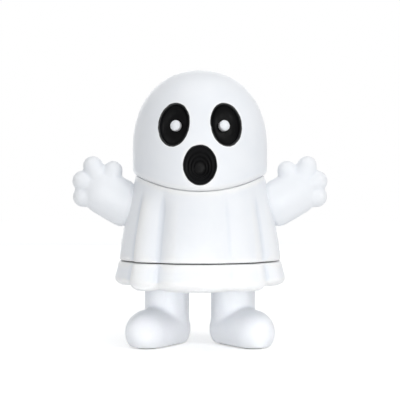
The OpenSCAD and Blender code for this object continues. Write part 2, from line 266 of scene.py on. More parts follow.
def blended(tree, amount, first, second):
    """Mixes two colours by an amount that varies over the surface."""
    made = add(tree, "ShaderNodeMix", data_type="RGBA")
    join(tree, (amount, made.inputs["Factor"]), (first, made.inputs[6]), (second, made.inputs[7]))
    return made.outputs[2]


def worked_out(tree, operation, first, second):
    """A Math node on a socket and either a number or another socket."""
    made = add(tree, "ShaderNodeMath", operation=operation)
    join(tree, (first, made.inputs[0]))
    if isinstance(second, (int, float)):
        made.inputs[1].default_value = second
    else:
        join(tree, (second, made.inputs[1]))
    return made.outputs[0]


def new_group(name, takes, gives):
    """An empty node group with named inputs and outputs."""
    tree = bpy.data.node_groups.new(name, "ShaderNodeTree")
    for socket, kind in takes:
        tree.interface.new_socket(socket, in_out="INPUT", socket_type=kind)
    for socket, kind in gives:
        tree.interface.new_socket(socket, in_out="OUTPUT", socket_type=kind)
    return tree, tree.nodes.new("NodeGroupInput").outputs, tree.nodes.new("NodeGroupOutput").inputs


# Glaze as it lies on clay: cloudy, rippled and pitted, bluer where it pools in hollows and warmer where
# it thins on edges.
# It is also darker in creases and hollows, which is painted shade, and lighter on edges that stand out,
# which is a painted highlight.
glaze_on_clay, given, result = new_group(
    "glaze on clay",
    (("Place", "NodeSocketVector"), ("Hollow", "NodeSocketFloat"), ("Glaze", "NodeSocketColor"),
     ("Pooled and shaded", "NodeSocketColor"), ("Thin and lit", "NodeSocketColor"), ("Gloss", "NodeSocketFloat")),
    (("Color", "NodeSocketColor"), ("Roughness", "NodeSocketFloat"), ("Height", "NodeSocketFloat")))
clouds = ranged(glaze_on_clay, noise(glaze_on_clay, given["Place"], 70), 0.35, 0.75, 0, 0.35)
# Pooled glaze and painted shade: darker where the surface is hollow
pooling_and_shade = ranged(glaze_on_clay, given["Hollow"], 0.04, 0.6, 0, 1)
standing_out = worked_out(glaze_on_clay, "MULTIPLY", given["Hollow"], -1)
# Thin glaze and a painted highlight: lighter where the surface stands out
thinning_and_highlight = ranged(glaze_on_clay, standing_out, 0.12, 0.8, 0, 1)
clouded = blended(glaze_on_clay, clouds, given["Glaze"], given["Pooled and shaded"])
pooled_and_shaded = blended(glaze_on_clay, pooling_and_shade, clouded, given["Pooled and shaded"])
uneven = ranged(glaze_on_clay, noise(glaze_on_clay, given["Place"], 180, 2), 0.3, 0.7, -0.05, 0.05)
pit_cells = add(glaze_on_clay, "ShaderNodeTexVoronoi", {"Scale": 520}, feature="F1")
pits = ranged(glaze_on_clay, pit_cells.outputs["Distance"], 0.05, 0.16, -0.5, 0)
ripples = ranged(glaze_on_clay, noise(glaze_on_clay, given["Place"], 420, 2), 0.2, 0.8, 0, 0.35)
join(glaze_on_clay,
     (given["Place"], pit_cells.inputs["Vector"]),
     (blended(glaze_on_clay, thinning_and_highlight, pooled_and_shaded, given["Thin and lit"]), result["Color"]),
     (worked_out(glaze_on_clay, "ADD", given["Gloss"], uneven), result["Roughness"]),
     (worked_out(glaze_on_clay, "ADD", pits, ripples), result["Height"]))

white_glaze_colour = (0.828, 0.846, 0.874, 1)
# The darker colour is pooled glaze with painted shade in hollows; the lighter one is thin glaze with a
# painted highlight on edges
white_pooled_and_shaded_colour = (0.755, 0.785, 0.83, 1)
white_thin_and_lit_colour = (0.86, 0.865, 0.87, 1)
white_gloss = 0.42


def glaze_material(name, glaze, pooled_and_shaded, thin_and_lit, gloss, depth, specular=0.38, coat_weight=0.1):
    """A glazed surface of one colour, with the nodes that a finish may add to."""
    made, tree = new_material(name)
    place = add(tree, "ShaderNodeTexCoord").outputs["Object"]
    hollow = add(tree, "ShaderNodeAttribute", attribute_name="hollow").outputs["Fac"]
    coat = add(tree, "ShaderNodeGroup", node_tree=glaze_on_clay)
    for socket, value in (("Glaze", glaze), ("Pooled and shaded", pooled_and_shaded), ("Thin and lit", thin_and_lit), ("Gloss", gloss)):
        coat.inputs[socket].default_value = value
    bump = add(tree, "ShaderNodeBump", {"Strength": 0.25, "Distance": depth})
    shader = add(tree, "ShaderNodeBsdfPrincipled", {"IOR": 1.5, "Specular IOR Level": specular,
                                                    "Coat Weight": coat_weight, "Coat Roughness": 0.25})
    out = add(tree, "ShaderNodeOutputMaterial")
    join(tree, (place, coat.inputs["Place"]), (hollow, coat.inputs["Hollow"]),
         (coat.outputs["Color"], shader.inputs["Base Color"]),
         (coat.outputs["Roughness"], shader.inputs["Roughness"]),
         (coat.outputs["Height"], bump.inputs["Height"]),
         (bump.outputs["Normal"], shader.inputs["Normal"]),
         (shader.outputs["BSDF"], out.inputs["Surface"]))
    return made, tree, place, coat, bump, shader


white_glaze = glaze_material("white glaze", white_glaze_colour, white_pooled_and_shaded_colour,
                             white_thin_and_lit_colour, white_gloss, 0.1 * mm)[0]


def finish_piece(piece, material, sharp=60, reach=0.25 * mm):
    """Marks the hollows, shades the piece smooth between sharp edges and gives it its glaze."""
    mark_hollows(piece, reach)
    piece.data.shade_smooth()
    piece.data.set_sharp_from_angle(angle=math.radians(sharp))
    piece.data.materials.clear()
    piece.data.materials.append(material)


def stand_for(piece, node, body):
    """Hides the solid that a piece stands for and hangs the piece on the body it moves with."""
    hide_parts(node)
    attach(piece, body)


deck_under = hem_top - wall
rim_r = hem_rx - hem_draw - hem_top_round
hem = turned(stepped(rounded([
    (0, deck_under, 0), (hem_rx - hem_draw - wall, deck_under, deck_round),
    (hem_rx - wall, hem_low.z + hem_round, 0), (hem_rx - wall, hem_low.z, hem_lip_round),
    (hem_rx, hem_low.z, hem_round), (hem_rx, hem_low.z + hem_widest, hem_side_round),
    (hem_rx - hem_draw, hem_top, hem_top_round),
    (waist_high.x, hem_top, groove_round), (waist_high.x, waist_low.z, 0), (spigot_out, waist_low.z, 0),
    (spigot_out, hem_high.z, spigot_round), (spigot_in, hem_high.z, spigot_round),
    (spigot_in, hem_top, spigot_foot_round), (oval_from, hem_top, 0), (0, hem_top, 0)]), outline_grain))
for point in hem.verts:
    turn = math.atan2(point.co.y, point.co.x)
    reach = math.hypot(point.co.x, point.co.y)
    side_reach = reach - hem_narrower * min(reach / oval_from, 1)
    crease = crease_at(math.degrees(turn))
    on_deck = point.co.z > waist_low.z - 0.01 * mm
    outwards = ramp(reach, waist_high.x, rim_r) if on_deck else ramp(reach, oval_from, spigot_out)
    drawn = crease_depth * crease * outwards
    at_sides = smooth_share((abs(math.cos(turn)) - side_lift_from) / side_lift_over)
    lift = hem_side_lift * at_sides + crease_lift * max(crease, 0)
    point.co.x = (reach - drawn) * math.cos(turn)
    point.co.y = (side_reach - drawn) * math.sin(turn)
    point.co.z += lift * smooth_share(1 - (point.co.z - hem_low.z) / (2 * hem_round))
hem_casting = as_piece(hem, "hem_casting")
cut_away(hem_casting, rods(vent_r, 3 * wall, [
    Matrix.Translation((side * leg_x, leg_y, hem_top - wall / 2)) for side in (-1, 1)]))
finish_piece(hem_casting, white_glaze, 40, fold_reach)
stand_for(hem_casting, "skirt_base", "base")

# Each leg is cast in one with its foot and luted under the deck, toes turned out. The
# ankle is a soft crease under the glaze, and the sole is ground flat and let in for a pad.
leg_r = 10.45 * mm
heel_r, toe_r = 11.2 * mm, 10.3 * mm
foot_length = 15 * mm
foot_turn = math.radians(34)
foot_axis = leg_low.z + 6.4 * mm
pad_room = 0.15 * mm
fine_grain = 0.45 * mm


def arc(height, radius, start, end, steps=10):
    """A round stretch of an outline about a point of the axis, between two angles."""
    turns = [math.radians(start + (end - start) * k / steps) for k in range(steps + 1)]
    return [(radius * math.cos(t), height + radius * math.sin(t)) for t in turns]


def limb(start, start_r, end, end_r, steps=96):
    """A round limb that runs from one ball to another."""
    way = end - start
    tilt = math.degrees(math.asin((start_r - end_r) / way.length))
    made = turned(arc(0, start_r, -90, tilt) + arc(way.length, end_r, tilt, 90), steps)
    stand = Vector((0, 0, 1)).rotation_difference(way).to_matrix().to_4x4()
    bmesh.ops.transform(made, matrix=Matrix.Translation(start) @ stand, verts=made.verts)
    return made


def gathered(parts):
    """Puts several meshes into one."""
    whole = bmesh.new()
    for part in parts:
        mesh = bpy.data.meshes.new("part")
        part.to_mesh(mesh)
        part.free()
        whole.from_mesh(mesh)
        bpy.data.meshes.remove(mesh)
    return whole


def fuse(piece, grain, rounds):
    """Runs overlapping forms into one skin, and softens where they meet."""
    skin = piece.modifiers.new("skin", "REMESH")
    skin.mode = "VOXEL"
    skin.voxel_size = grain
    calm = piece.modifiers.new("calm", "SMOOTH")
    calm.factor = 0.5
    calm.iterations = rounds
    settle(piece)


def mirrored(piece, name):
    """The same piece on the figure's other side."""
    made = bmesh.new()
    made.from_mesh(piece.data)
    bmesh.ops.scale(made, vec=(-1, 1, 1), verts=made.verts)
    bmesh.ops.reverse_faces(made, faces=made.faces)
    return as_piece(made, name)


heel = Vector((leg_x, leg_y, foot_axis))
toe = heel + foot_length * Vector((math.sin(foot_turn), -math.cos(foot_turn), 0))
shin_length = leg_high.z - foot_axis
shin = rods(leg_r, shin_length, [Matrix.Translation(heel + Vector((0, 0, shin_length / 2)))], 96)
foot = limb(heel, heel_r, toe, toe_r)
ground = bmesh.ops.bisect_plane(foot, geom=foot.verts[:] + foot.edges[:] + foot.faces[:],
                                plane_co=(0, 0, leg_low.z), plane_no=(0, 0, -1), clear_outer=True)
bmesh.ops.holes_fill(foot, edges=[e for e in ground["geom_cut"] if isinstance(e, bmesh.types.BMEdge)])
left_leg = as_piece(gathered([shin, foot]), "left_leg_casting")
fuse(left_leg, fine_grain, 48)
pad_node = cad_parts["left_sole_pad"]
pad_space = bmesh.new()
pad_space.from_mesh(pad_node.data)
bmesh.ops.remove_doubles(pad_space, verts=pad_space.verts, dist=weld)
pad_low, pad_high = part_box("left_sole_pad")
pad_middle = (pad_low + pad_high) / 2
pad_scale = 1 + 2 * pad_room / (pad_high.x - pad_low.x)
bmesh.ops.scale(pad_space, vec=(pad_scale, pad_scale, 1), verts=pad_space.verts,
                space=Matrix.Translation(-pad_middle))
cut_away(left_leg, pad_space)
right_leg = mirrored(left_leg, "right_leg_casting")
for leg, node in ((left_leg, "left_leg"), (right_leg, "right_leg")):
    finish_piece(leg, white_glaze)
    stand_for(leg, node, "base")

# The sole pads are grey wool felt, die-cut to the sole's shape and glued into it, so that
# no glaze touches the shelf. Loose fibres break up their colour.
felt, felt_tree = new_material("grey felt")
felt_place = add(felt_tree, "ShaderNodeTexCoord").outputs["Object"]
fibres = noise(felt_tree, felt_place, 1500, 6)
felt_colour = add(felt_tree, "ShaderNodeValToRGB")
felt_colour.color_ramp.elements[0].color = (0.06, 0.058, 0.056, 1)
felt_colour.color_ramp.elements[1].color = (0.17, 0.165, 0.16, 1)
felt_bump = add(felt_tree, "ShaderNodeBump", {"Strength": 0.8, "Distance": 0.3 * mm})
felt_shader = add(felt_tree, "ShaderNodeBsdfPrincipled", {"Roughness": 0.95, "Sheen Weight": 0.4})
felt_out = add(felt_tree, "ShaderNodeOutputMaterial")
join(felt_tree, (fibres, felt_colour.inputs["Fac"]), (fibres, felt_bump.inputs["Height"]),
     (felt_colour.outputs["Color"], felt_shader.inputs["Base Color"]),
     (felt_bump.outputs["Normal"], felt_shader.inputs["Normal"]),
     (felt_shader.outputs["BSDF"], felt_out.inputs["Surface"]))
for node in ("left_sole_pad", "right_sole_pad"):
    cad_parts[node].data.materials.clear()
    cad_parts[node].data.materials.append(felt)

# The waist seal is a flat moulded ring of silicone with rounded edges. It lies in the hem's groove.
# Its near-black colour is painted shade, which makes the seam between the hem and the body show as the
# dark shadow line of the gap.
def silicone_material(name, colour, roughness):
    """Moulded silicone: even and softly matt, with a faint grain from the mould."""
    made, tree = new_material(name)
    grain = noise(tree, add(tree, "ShaderNodeTexCoord").outputs["Object"], 900, 4)
    bump = add(tree, "ShaderNodeBump", {"Strength": 0.3, "Distance": 0.05 * mm})
    shader = add(tree, "ShaderNodeBsdfPrincipled", {"Base Color": colour})
    out = add(tree, "ShaderNodeOutputMaterial")
    rough = ranged(tree, grain, 0.3, 0.7, roughness - 0.08, roughness + 0.08)
    join(tree, (rough, shader.inputs["Roughness"]),
         (grain, bump.inputs["Height"]), (bump.outputs["Normal"], shader.inputs["Normal"]),
         (shader.outputs["BSDF"], out.inputs["Surface"]))
    return made


seal_edge = 0.25 * mm
waist_in = spigot_out + 0.2 * mm
waist_outline = rounded([(waist_in, waist_low.z, seal_edge), (waist_high.x, waist_low.z, seal_edge),
                         (waist_high.x, waist_high.z, seal_edge), (waist_in, waist_high.z, seal_edge)])
waist = turned(waist_outline + waist_outline[:1])
for point in waist.verts:
    point.co.y *= 1 - hem_narrower / math.hypot(point.co.x, point.co.y)
waist_seal = as_piece(waist, "waist_seal")
# Near-black silicone: painted shade for the shadow in the waist seam
finish_piece(waist_seal, silicone_material("seam shade silicone", (0.02, 0.017, 0.015, 1), 0.6))
stand_for(waist_seal, "waist_ring", "base")

# The body casting is the sheet from the shoulders to the waist, with the same creases as
# the hem. A deck under its saddle-shaped top carries the collar that the head drops into.
shoulder_rx, shoulder_ry = 29.2 * mm, 28.9 * mm
waist_rx, waist_ry = hem_rx - 1.9 * mm, hem_ry - 1.9 * mm
body_sides_h = 39.2 * mm
# The solids keep neck_gap to slide in. The seam of the real piece looks thinner, so here
# the body's top comes up to seat_gap under the head, and the head stays where it is.
neck_gap = 0.3 * mm
seat_gap = 0.05 * mm
body_top = body_low.z + body_sides_h + neck_gap - seat_gap
body_power = 1.3
neck_r = 17.5 * mm
collar_r = 20.5 * mm
collar_z = 61.6 * mm
head_low, head_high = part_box("head_shell")
head_z = body_top + seat_gap
head_r = head_high.x
saddle_drop = 8.9 * mm
saddle_r = (head_r ** 2 + saddle_drop ** 2) / (2 * saddle_drop)
saddle_mid = head_z - saddle_drop + saddle_r
fold_from, fold_to = 0.5, 0.9
sag_from = 10 * mm
near_collar = 0.1 * mm
foot_round, deck_side_round, collar_round, shoulder_round = 0.9 * mm, 1 * mm, 0.7 * mm, 1.2 * mm
rim_edge_round = 0.8 * mm
face_end = 2 * mm
arm_rise, arm_sink, arm_forward = 23.9 * mm, 3 * mm, 3 * mm


def body_reach(z):
    """Half width and half depth of the body's outside at a height."""
    share = (max(z - body_low.z, 0) / body_sides_h) ** body_power
    return waist_rx - (waist_rx - shoulder_rx) * share, waist_ry - (waist_ry - shoulder_ry) * share


def saddle_sag(x, radius, level):
    """How far the saddle lies below a level, at a distance from the middle."""
    return saddle_mid - math.sqrt(max(radius ** 2 - x ** 2, 0)) - level


def body_place(reach, turn, z):
    """Takes a point of the round pot to the oval, creased and saddle-topped body."""
    outside = body_reach(z)[0]
    from_collar = smooth_share(ramp(reach, collar_r, outside - wall))
    still_at = collar_z if reach < collar_r + near_collar else body_low.z + sag_from
    sagging = ramp(z, still_at, body_top - wall)
    x, height = reach * math.cos(turn), z
    for _ in range(3):
        height = z + sagging * saddle_sag(x, saddle_r + seat_gap, body_top)
        rx, ry = body_reach(height)
        moved = reach + (rx - outside) * from_collar
        x = moved * math.cos(turn)
    y = moved * math.sin(turn) * (1 + (ry / rx - 1) * from_collar)
    faded = 1 - smooth_share(((height - body_low.z) / body_sides_h - fold_from) / (fold_to - fold_from))
    drawn = crease_depth * crease_at(math.degrees(turn)) * max(1 - (outside - reach) / wall, 0) * faded
    return x - drawn * math.cos(turn), y - drawn * math.sin(turn), height


def body_face(inset, low, high, steps):
    """Corners up one face of the wall, at one distance in from the outside."""
    heights = [low + (high - low) * k / steps for k in range(steps + 1)]
    return [(body_reach(z)[0] - inset, z, 0) for z in heights]


body_outline = stepped(rounded(
    [(waist_rx - wall, body_low.z, foot_round)]
    + body_face(wall, body_low.z + face_end, body_top - wall - face_end, 24)
    + [(body_reach(body_top - wall)[0] - wall, body_top - wall, deck_side_round),
       (collar_r, body_top - wall, rim_edge_round), (collar_r, collar_z, collar_round),
       (neck_r, collar_z, collar_round), (neck_r, body_top, rim_edge_round),
       (shoulder_rx, body_top, shoulder_round)]
    + body_face(0, body_low.z + 1.5 * mm, body_top - face_end, 44)[::-1]
    + [(waist_rx, body_low.z, foot_round)]), outline_grain)
body = turned(stepped(body_outline + body_outline[:1], outline_grain))
for point in body.verts:
    point.co = body_place(math.hypot(point.co.x, point.co.y), math.atan2(point.co.y, point.co.x),
                          point.co.z)
body_casting = as_piece(body, "body_casting")
arm_root_z = body_low.z + arm_rise
arm_root = Vector((body_reach(arm_root_z)[0] - arm_sink, -arm_forward, arm_root_z))
cut_away(body_casting, rods(vent_r, 4 * wall, [
    Matrix.Translation((side * arm_root.x, arm_root.y, arm_root.z))
    @ Matrix.Rotation(math.pi / 2, 4, "Y") for side in (-1, 1)]))
finish_piece(body_casting, white_glaze, 40, fold_reach)
stand_for(body_casting, "body_shell", "body")

# Each arm is cast by itself with a mitten palm, a thumb and three stubby fingers, and is
# luted to the body's side. The joint stays as a soft crease under the glaze.
arm_root_r, palm_r = 9.6 * mm, 10.3 * mm
arm_raise = math.radians(26)
arm_length, arm_depth_share = 15 * mm, 0.74
palm = arm_root + arm_length * Vector((math.cos(arm_raise), 0, math.sin(arm_raise)))
# The thumb, then the fingers from the upper to the lower: angle, distance from the palm, radius
digits = ((110, 10.9 * mm, 4.4 * mm), (66, 13.5 * mm, 4.5 * mm),
          (28, 11.4 * mm, 4.8 * mm), (-10, 9.9 * mm, 4.9 * mm))
digit_root_r, digit_root_share = 5.9 * mm, 0.25
belly_r, belly_drop, belly_share = 10 * mm, 1.3 * mm, 0.36
joint_depth, joint_spread = 0.4 * mm, 1.6 * mm
arm_let = 0.3 * mm

belly = arm_root.lerp(palm, belly_share) - Vector((0, 0, belly_drop))
forearm = gathered([limb(arm_root, arm_root_r, palm, palm_r), limb(belly, belly_r, palm, palm_r)])
bmesh.ops.scale(forearm, vec=(1, arm_depth_share, 1), verts=forearm.verts,
                space=Matrix.Translation((0, -arm_root.y, 0)))
parts = [forearm]
for angle, distance, radius in digits:
    way = Vector((math.cos(math.radians(angle)), 0, math.sin(math.radians(angle))))
    parts.append(limb(palm + digit_root_share * distance * way, digit_root_r,
                      palm + distance * way, radius, 48))
left_arm = as_piece(gathered(parts), "left_arm_casting")
fuse(left_arm, fine_grain, 16)
arm = bmesh.new()
arm.from_mesh(left_arm.data)
arm.normal_update()
for point in arm.verts:
    rx, ry = body_reach(point.co.z)
    off = (math.hypot(point.co.x / rx, point.co.y / ry) - 1) * rx
    point.co -= point.normal * joint_depth * smooth_share(1 - max(off, 0) / joint_spread)
arm.to_mesh(left_arm.data)
arm.free()
core_side = [(r, z) for r, z, _ in body_face(arm_let, body_low.z, body_top + wall, 30)]
body_core = turned([(0, body_low.z)] + core_side + [(0, body_top + wall)], 180)
for point in body_core.verts:
    rx, ry = body_reach(point.co.z)
    point.co.y *= ry / rx
cut_away(left_arm, body_core)
right_arm = mirrored(left_arm, "right_arm_casting")
for arm_piece, node in ((left_arm, "left_arm"), (right_arm, "right_arm")):
    finish_piece(arm_piece, white_glaze)
    stand_for(arm_piece, node, "body")

# The head casting is a thick dome whose lower edge follows the saddle, closed by a deck
# with a neck flange. The openings for the face were cut in the leather-hard clay, and the
# black glaze of the cups was brushed a little over their lips.
head_wall = 3 * mm
dome_h = 36 * mm
band_h = 10.8 * mm
dome_power = 2.2
rim_round = 1.8 * mm
band_from, sag_fade = 3 * mm, 6 * mm
deck_edge_round, flange_top_round, flange_round, flange_root_round = 1.5 * mm, 1 * mm, 0.8 * mm, 0.6 * mm
flange_r, flange_in = 16.3 * mm, 13.3 * mm
groove = 0.8 * mm
seal_low, seal_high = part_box("neck_ring")
eye_x, eye_rise = 11.6 * mm, 20 * mm
eye_rx, eye_ry = 7.0 * mm, 9.2 * mm
mouth_rise = 2.3 * mm
mouth_rx, mouth_ry = 7.15 * mm, 8.5 * mm
lip = 0.3 * mm
head_grain = 0.585 * mm


def dome_reach(z):
    """Radius of the dome's outside at a height."""
    share = ramp(z, head_z + band_h, head_z + band_h + dome_h)
    return head_r * (1 - share ** dome_power) ** (1 / dome_power)


def dome_face(inset, low, steps):
    """Corners up one face of the dome, from its band to the crown."""
    r, h, base = head_r - inset, dome_h - inset, head_z + band_h
    turns = [math.pi / 2 * k / steps for k in range(steps)]
    power = 2 / dome_power
    curve = [(r * math.cos(t) ** power, base + h * math.sin(t) ** power, 0) for t in turns]
    return [(r, low, 0)] + curve + [(0, base + h, 0)]


head = turned(stepped(rounded(
    dome_face(head_wall, head_z + head_wall + band_from, 30)[::-1]
    + [(head_r - head_wall, head_z + head_wall, deck_edge_round),
       (flange_in, head_z + head_wall, flange_top_round),
       (flange_in, head_low.z, flange_round), (flange_r, head_low.z, flange_round),
       (flange_r, seal_low.z, 0), (flange_r - groove, seal_low.z, 0),
       (flange_r - groove, seal_high.z, 0), (flange_r, seal_high.z, 0),
       (flange_r, head_z, flange_root_round), (head_r, head_z, rim_round)]
    + dome_face(0, head_z + band_from, 46)), outline_grain))
for point in head.verts:
    reach = math.hypot(point.co.x, point.co.y)
    turn = math.atan2(point.co.y, point.co.x)
    start_z = point.co.z
    sagging = (ramp(start_z, seal_high.z, head_z) if start_z < head_z
               else smooth_share(ramp(start_z, head_z + band_h + sag_fade, head_z + head_wall)))
    for _ in range(3):
        point.co.z = start_z + sagging * saddle_sag(point.co.x, saddle_r, head_z)
        moved = reach + dome_reach(point.co.z) - dome_reach(start_z)
        point.co.x, point.co.y = moved * math.cos(turn), moved * math.sin(turn)


def on_face(x, rise):
    """A place on the dome, its own +Z straight out of the surface and its +Y upwards."""
    reach = dome_reach(head_z + rise)
    turn = math.asin(x / reach)
    share = max(rise - band_h, 0) / dome_h
    tilt = math.atan2(share ** (dome_power - 1) / dome_h, (reach / head_r) ** (dome_power - 1) / head_r)
    spot = Matrix.Translation((x, -reach * math.cos(turn), head_z + rise))
    return spot @ Matrix.Rotation(turn, 4, "Z") @ Matrix.Rotation(math.pi / 2 - tilt, 4, "X")


left_eye_spot, right_eye_spot = on_face(eye_x, eye_rise), on_face(-eye_x, eye_rise)
mouth_spot = on_face(0, mouth_rise)
openings = ((left_eye_spot, eye_rx, eye_ry), (right_eye_spot, eye_rx, eye_ry),
            (mouth_spot, mouth_rx, mouth_ry))
head_casting = as_piece(head, "head_casting")
cut_away(head_casting, rods(1, 2, [
    spot @ Matrix.Diagonal((rx - lip, ry - lip, 6 * mm, 1)) for spot, rx, ry in openings], 96))
fuse(head_casting, head_grain, 6)

# The dome is trued again where the skin was softened, but not at its lips and its rim
true_reach, lip_zone = 0.3 * mm, 5 * mm
lip_soft_from, lip_soft_to = 0.6 * mm, 1.6 * mm
rim_soft_from, rim_soft_to = 2 * mm, 3.5 * mm
trued = bmesh.new()
trued.from_mesh(head_casting.data)
into_openings = [(spot.inverted(), rx, ry) for spot, rx, ry in openings]
for point in trued.verts:
    reach = math.hypot(point.co.x, point.co.y)
    rim_z = head_z + saddle_sag(point.co.x, saddle_r, head_z)
    up = max(point.co.z - head_z - band_h, 0) / dome_h
    off = (reach / head_r) ** dome_power + up ** dome_power - 1
    outwards = Vector((point.co.x, point.co.y, 0)) / max(reach, 0.1 * mm)
    slope = outwards * (reach / head_r) ** (dome_power - 1) / head_r
    slope.z = up ** (dome_power - 1) / dome_h
    step = slope * off / (dome_power * slope.length_squared)
    if step.length > true_reach:
        continue
    near_lip = 1
    for into, rx, ry in into_openings:
        local = into @ point.co
        if local.z > -lip_zone:
            from_lip = (math.hypot(local.x / rx, local.y / ry) - 1) * rx
            near_lip = min(near_lip, ramp(from_lip, lip_soft_from, lip_soft_to))
    point.co -= step * near_lip * ramp(point.co.z - rim_z, rim_soft_from, rim_soft_to)
trued.to_mesh(head_casting.data)
trued.free()

black_glaze_colour = (0.0022, 0.0023, 0.0028, 1)
lap_wobble = 0.5 * mm
eye_lap, mouth_lap = 0.42 * mm, 0.12 * mm
lap_blur, lap_reach = 0.1 * mm, 3.5 * mm
head_glaze, head_tree, head_place, head_coat, _, head_shader = glaze_material(
    "white glaze with black lips", white_glaze_colour, white_pooled_and_shaded_colour, white_thin_and_lit_colour,
    white_gloss, 0.1 * mm)
wobble = noise(head_tree, head_place, 330)
painted = None
for (spot, rx, ry), lap in zip(openings, (eye_lap, eye_lap, mouth_lap)):
    local = add(head_tree, "ShaderNodeMapping", {
        "Location": spot.to_translation(), "Rotation": spot.to_euler(), "Scale": (rx, ry, lap_reach)},
        vector_type="TEXTURE")
    apart = add(head_tree, "ShaderNodeSeparateXYZ")
    flat = add(head_tree, "ShaderNodeCombineXYZ")
    far = add(head_tree, "ShaderNodeVectorMath", operation="LENGTH")
    join(head_tree, (head_place, local.inputs["Vector"]),
         (local.outputs["Vector"], apart.inputs["Vector"]),
         (apart.outputs["X"], flat.inputs["X"]), (apart.outputs["Y"], flat.inputs["Y"]),
         (flat.outputs["Vector"], far.inputs[0]))
    shaken = worked_out(head_tree, "ADD", far.outputs["Value"],
                        worked_out(head_tree, "MULTIPLY", wobble, lap_wobble / rx))
    middle = 1 + (lap_wobble / 2 + lap) / rx
    inside = ranged(head_tree, shaken, middle - lap_blur / rx, middle + lap_blur / rx, 1, 0)
    on_front = worked_out(head_tree, "GREATER_THAN", apart.outputs["Z"], -1)
    brushed = worked_out(head_tree, "MULTIPLY", inside, on_front)
    painted = worked_out(head_tree, "MAXIMUM", brushed, painted) if painted else brushed
black_lips = add(head_tree, "ShaderNodeMix", data_type="RGBA")
black_lips.inputs[7].default_value = black_glaze_colour
join(head_tree, (painted, black_lips.inputs["Factor"]),
     (head_coat.outputs["Color"], black_lips.inputs[6]),
     (black_lips.outputs[2], head_shader.inputs["Base Color"]))
finish_piece(head_casting, head_glaze, 180)
stand_for(head_casting, "head_shell", "head")

# The neck seal is a pale silicone ring with two rounded lips, stretched into the flange's
# groove. It holds the head snug in the body's collar.
seal_in = flange_r - groove
seal_h = seal_high.z - seal_low.z
lip_valley = seal_high.x - 0.7 * mm
lip_round, valley_round, seal_back_round = 0.45 * mm, 0.1 * mm, 0.2 * mm
seal_outline = rounded([
    (seal_in, seal_low.z, seal_back_round), (seal_high.x, seal_low.z, lip_round),
    (seal_high.x, seal_low.z + 0.42 * seal_h, lip_round),
    (lip_valley, seal_low.z + 0.5 * seal_h, valley_round),
    (seal_high.x, seal_low.z + 0.58 * seal_h, lip_round), (seal_high.x, seal_high.z, lip_round),
    (seal_in, seal_high.z, seal_back_round)])
neck_seal = as_piece(turned(seal_outline + seal_outline[:1], 180), "neck_seal")
finish_piece(neck_seal, silicone_material("pale silicone", (0.68, 0.68, 0.66, 1), 0.45))
stand_for(neck_seal, "neck_ring", "head")

# The eyes and the mouth are thin cups pressed from clay, glazed black and set into the
# head's openings from inside. The mouth was turned, and keeps its rings as small terraces.
# Each ring of a cup: the share of its opening, and the depth in millimetres
eye_rings = ((1.03, 0.9), (1.0, 1.5), (0.93, 2.3), (0.83, 3.1), (0.72, 3.7), (0.62, 4.05),
             (0.5, 4.2), (0.25, 4.2))
mouth_rings = ((1.03, 0.9), (0.99, 1.5), (0.93, 1.9), (0.86, 2.15), (0.80, 2.25), (0.77, 2.35),
               (0.74, 2.9), (0.70, 3.2), (0.62, 3.3), (0.58, 3.4), (0.55, 3.9), (0.51, 4.2),
               (0.44, 4.3), (0.40, 4.4), (0.37, 4.8), (0.33, 5.0), (0.18, 5.0))
mouth_sink, sink_from = 1.2 * mm, 1.5 * mm
cup_wall = 0.9 * mm
most_drop = 4 * mm


def surface_drop(spot, u, v):
    """How far the dome lies behind its touching plane, at a place on that plane."""
    low, high = 0, most_drop
    for _ in range(20):
        middle = (low + high) / 2
        at = spot @ Vector((u, v, -middle))
        if math.hypot(at.x, at.y) < dome_reach(at.z):
            high = middle
        else:
            low = middle
    return low


def cup(name, spot, rx, ry, rings, sink):
    """A cup drawn ring by ring into the head, its floor sunk a little, with a wall behind it."""
    made = bmesh.new()
    bmesh.ops.create_circle(made, cap_ends=False, segments=128, radius=1)
    edges = made.edges[:]
    for k, (share, depth) in enumerate(rings):
        if k:
            grown = bmesh.ops.extrude_edge_only(made, edges=edges)["geom"]
            fresh = {item for item in grown if isinstance(item, bmesh.types.BMVert)}
            edges = [item for item in grown
                     if isinstance(item, bmesh.types.BMEdge) and fresh.issuperset(item.verts)]
        for point in {v for e in edges for v in e.verts}:
            u, v = (share * size * part for size, part in zip((rx, ry), point.co.xy.normalized()))
            point.co = (u, v, -depth * mm)
    bmesh.ops.holes_fill(made, edges=edges)
    for point in made.verts:
        point.co.z -= surface_drop(spot, point.co.x, point.co.y)
        point.co.y -= sink * ramp(-point.co.z, sink_from, rings[-1][1] * mm)
    bmesh.ops.recalc_face_normals(made, faces=made.faces)
    made.faces.ensure_lookup_table()
    if made.faces[-1].normal.z < 0:
        bmesh.ops.reverse_faces(made, faces=made.faces)
    bmesh.ops.transform(made, matrix=spot, verts=made.verts)
    piece = as_piece(made, name)
    back = piece.modifiers.new("back", "SOLIDIFY")
    back.thickness = cup_wall
    back.offset = -1
    settle(piece)
    return piece


# Black glaze, brushed on in broad strokes that leave streaks in its sheen
# Its darker colour is pooled glaze with painted shade in the hollows. Its lighter colour is thin glaze
# with a painted highlight on the edges and on the mouth's rings.
black_glaze, black_tree, black_place, black_coat, black_bump, black_shader = glaze_material(
    "black glaze", black_glaze_colour, (0.0015, 0.0015, 0.0018, 1), (0.007, 0.007, 0.008, 1),
    0.36, 0.08 * mm, specular=0.08, coat_weight=0)
stroke_way = add(black_tree, "ShaderNodeMapping", {
    "Rotation": (0, math.radians(28), 0), "Scale": (900, 260, 150)})
join(black_tree, (black_place, stroke_way.inputs["Vector"]))
strokes = noise(black_tree, stroke_way.outputs["Vector"], 1, 4)
join(black_tree, (ranged(black_tree, strokes, 0.35, 0.65, 0.28, 0.5), black_shader.inputs["Roughness"]),
     (worked_out(black_tree, "ADD", black_coat.outputs["Height"], strokes), black_bump.inputs["Height"]))

